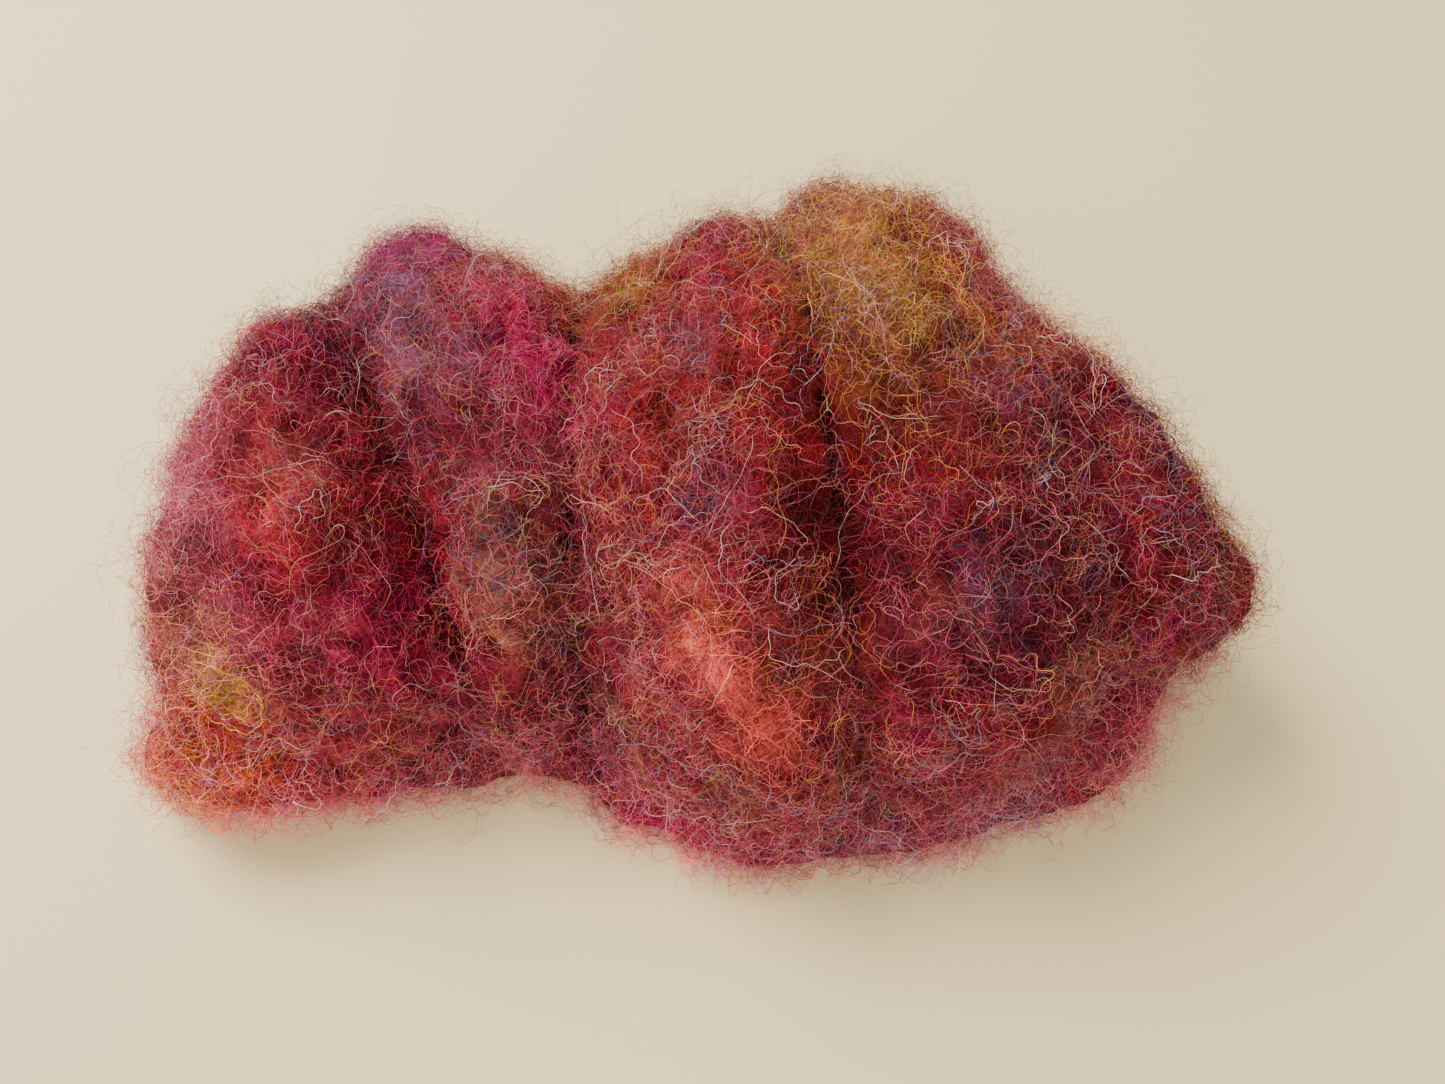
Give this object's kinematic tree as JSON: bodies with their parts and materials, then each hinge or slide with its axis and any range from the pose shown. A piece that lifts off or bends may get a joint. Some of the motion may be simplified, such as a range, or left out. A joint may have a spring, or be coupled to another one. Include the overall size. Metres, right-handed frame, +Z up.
{
  "type": "carded wool batt",
  "caption": "Folded batt of hand-dyed carded wool, in red, crimson, orange and plum, with fuzzy folds and unblended locks, lying flat.",
  "frame": {"origin": "on the table, below the middle of the batt's bounding box", "axes": "+X along the batt towards its right end, +Y away from the front, +Z up"},
  "size_m": [0.1614, 0.1062, 0.0564],
  "materials": {
    "left_outer_fold": "fuzzy carded wool, raspberry",
    "left_ridge_fold": "fuzzy carded wool, mauve red",
    "centre_fold": "fuzzy carded wool, brick red",
    "right_ridge_fold": "fuzzy carded wool, deep crimson",
    "right_flap": "fuzzy carded wool, crimson",
    "left_front_roll": "fuzzy carded wool, orange",
    "right_under_roll": "fuzzy carded wool, cherry",
    "magenta_lock": "unblended dyed wool, magenta",
    "mauve_lock": "unblended dyed wool, mauve",
    "hot_pink_lock": "unblended dyed wool, hot pink",
    "red_lock": "unblended dyed wool, red",
    "yellow_lock": "unblended dyed wool, yellow",
    "blue_grey_lock": "unblended dyed wool, blue grey",
    "peach_lock": "unblended dyed wool, peach",
    "mustard_lock": "unblended dyed wool, mustard",
    "orange_red_lock": "unblended dyed wool, orange red",
    "coral_lock": "unblended dyed wool, coral",
    "gold_lock": "unblended dyed wool, gold",
    "orange_lock": "unblended dyed wool, orange",
    "plum_lock": "unblended dyed wool, plum",
    "cerise_lock": "unblended dyed wool, cerise",
    "rose_lock": "unblended dyed wool, rose",
    "bottom_web": "soft carded web"
  },
  "bodies": {
    "root": {"left_outer_fold": "left_outer_fold", "left_ridge_fold": "left_ridge_fold", "centre_fold": "centre_fold", "right_ridge_fold": "right_ridge_fold", "right_flap": "right_flap", "left_front_roll": "left_front_roll", "right_under_roll": "right_under_roll", "magenta_lock": "magenta_lock", "mauve_lock": "mauve_lock", "hot_pink_lock": "hot_pink_lock", "red_lock": "red_lock", "yellow_lock": "yellow_lock", "blue_grey_lock": "blue_grey_lock", "peach_lock": "peach_lock", "mustard_lock": "mustard_lock", "orange_red_lock": "orange_red_lock", "coral_lock": "coral_lock", "gold_lock": "gold_lock", "orange_lock": "orange_lock", "plum_lock": "plum_lock", "cerise_lock": "cerise_lock", "rose_lock": "rose_lock", "bottom_web": "bottom_web"}
  },
  "joints": []
}
